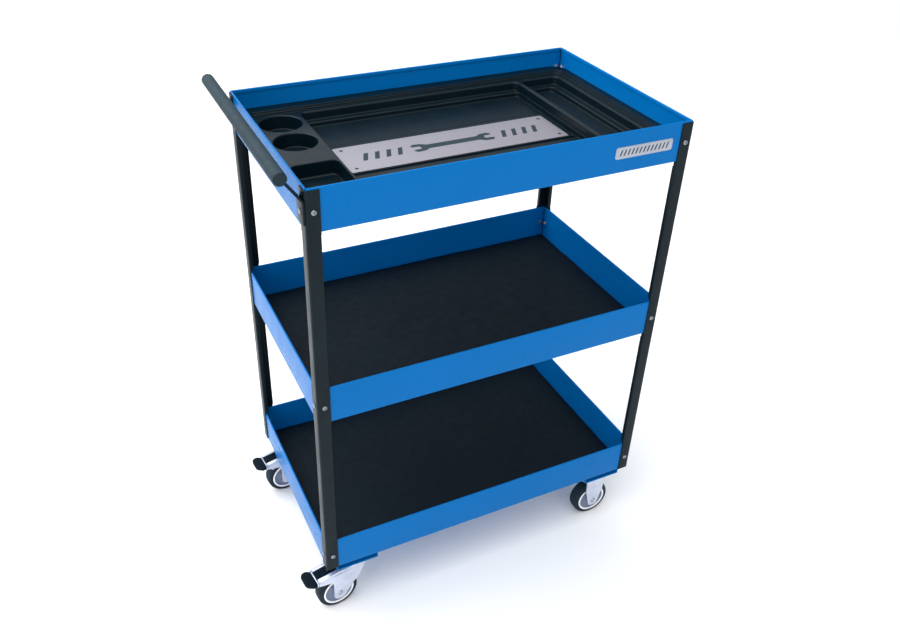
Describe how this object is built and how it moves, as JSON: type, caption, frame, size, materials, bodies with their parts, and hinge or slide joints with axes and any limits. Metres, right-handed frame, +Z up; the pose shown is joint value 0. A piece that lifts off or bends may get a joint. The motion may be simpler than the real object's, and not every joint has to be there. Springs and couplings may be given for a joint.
{
  "type": "tool cart",
  "caption": "Tool cart with stacked sheet-steel trays on corner posts, a moulded organiser, a push handle and swivel and rigid casters.",
  "frame": {"origin": "on the floor, at the middle of the whole object's outline", "axes": "+X along the cart away from the handle, +Y to the back, +Z up"},
  "size_m": [0.6978, 0.4052, 0.9217],
  "materials": {
    "blue_paint": "glossy powder coat",
    "charcoal_paint": "satin powder coat",
    "moulded_black": "vacuum-formed, satin gloss",
    "plate_steel": "bright plate",
    "dark_rivet": "blackened",
    "badge_silver": "satin",
    "mat_rubber": "fine matt grain",
    "grip_grey": "soft sleeve",
    "cap_grey": "moulded",
    "zinc": "bright zinc plate",
    "ball_steel": "polished",
    "pedal_black": "moulded, ribbed",
    "tyre_rubber": "matt tread",
    "core_white": "moulded",
    "guard_grey": "moulded"
  },
  "bodies": {
    "root": {"tray_top": "blue_paint", "tray_middle": "blue_paint", "tray_bottom": "blue_paint", "post_front_left": "charcoal_paint", "post_front_right": "charcoal_paint", "post_back_left": "charcoal_paint", "post_back_right": "charcoal_paint", "tray_insert": "moulded_black", "name_plate": "plate_steel", "name_plate_rivets": "dark_rivet", "front_badge": "badge_silver", "mat_middle": "mat_rubber", "mat_bottom": "mat_rubber", "channel_left": "blue_paint", "channel_right": "blue_paint", "handle_bar": "grip_grey", "handle_end_caps": "cap_grey", "handle_bracket_front": "charcoal_paint", "handle_bracket_back": "charcoal_paint", "frame_screws": "zinc", "frame_nuts": "zinc", "caster_bolts": "zinc", "caster_nuts": "zinc", "swivel_balls": "ball_steel", "front_left_top_plate": "zinc", "front_left_kingpin": "zinc", "front_left_swivel_race": "zinc", "back_left_top_plate": "zinc", "back_left_kingpin": "zinc", "back_left_swivel_race": "zinc", "front_right_fork": "zinc", "front_right_axle": "zinc", "back_right_fork": "zinc", "back_right_axle": "zinc"},
    "front_left_yoke": {"front_left_fork": "zinc", "front_left_axle": "zinc", "front_left_brake_pin": "zinc"},
    "front_left_brake": {"front_left_brake_lever": "zinc", "front_left_brake_pedal": "pedal_black"},
    "back_left_yoke": {"back_left_fork": "zinc", "back_left_axle": "zinc", "back_left_brake_pin": "zinc"},
    "back_left_brake": {"back_left_brake_lever": "zinc", "back_left_brake_pedal": "pedal_black"},
    "front_left_roller": {"front_left_tyre": "tyre_rubber", "front_left_wheel": "core_white", "front_left_bush": "ball_steel", "front_left_thread_guards": "guard_grey"},
    "back_left_roller": {"back_left_tyre": "tyre_rubber", "back_left_wheel": "core_white", "back_left_bush": "ball_steel", "back_left_thread_guards": "guard_grey"},
    "front_right_roller": {"front_right_tyre": "tyre_rubber", "front_right_wheel": "core_white", "front_right_bush": "ball_steel", "front_right_thread_guards": "guard_grey"},
    "back_right_roller": {"back_right_tyre": "tyre_rubber", "back_right_wheel": "core_white", "back_right_bush": "ball_steel", "back_right_thread_guards": "guard_grey"}
  },
  "joints": [
    {"name": "front_left_swivel", "type": "hinge", "parent": "root", "child": "front_left_yoke", "pos_m": [-0.2477, -0.164, 0.105], "axis": [0, 0, 1], "continuous": true},
    {"name": "front_left_spin", "type": "hinge", "parent": "front_left_yoke", "child": "front_left_roller", "pos_m": [-0.28248, -0.16796, 0.04], "axis": [-0.1132, 0.9936, 0], "continuous": true},
    {"name": "front_left_brake_press", "type": "hinge", "parent": "front_left_yoke", "child": "front_left_brake", "pos_m": [-0.31626, -0.17181, 0.086], "axis": [0.1132, -0.9936, 0], "range_deg": [0, 14]},
    {"name": "back_left_swivel", "type": "hinge", "parent": "root", "child": "back_left_yoke", "pos_m": [-0.2477, 0.164, 0.105], "axis": [0, 0, 1], "continuous": true},
    {"name": "back_left_spin", "type": "hinge", "parent": "back_left_yoke", "child": "back_left_roller", "pos_m": [-0.28248, 0.16004, 0.04], "axis": [-0.1132, 0.9936, 0], "continuous": true},
    {"name": "back_left_brake_press", "type": "hinge", "parent": "back_left_yoke", "child": "back_left_brake", "pos_m": [-0.31626, 0.15619, 0.086], "axis": [0.1132, -0.9936, 0], "range_deg": [0, 14]},
    {"name": "front_right_spin", "type": "hinge", "parent": "root", "child": "front_right_roller", "pos_m": [0.2863, -0.164, 0.04], "axis": [0, 1, 0], "continuous": true},
    {"name": "back_right_spin", "type": "hinge", "parent": "root", "child": "back_right_roller", "pos_m": [0.2863, 0.164, 0.04], "axis": [0, 1, 0], "continuous": true}
  ]
}
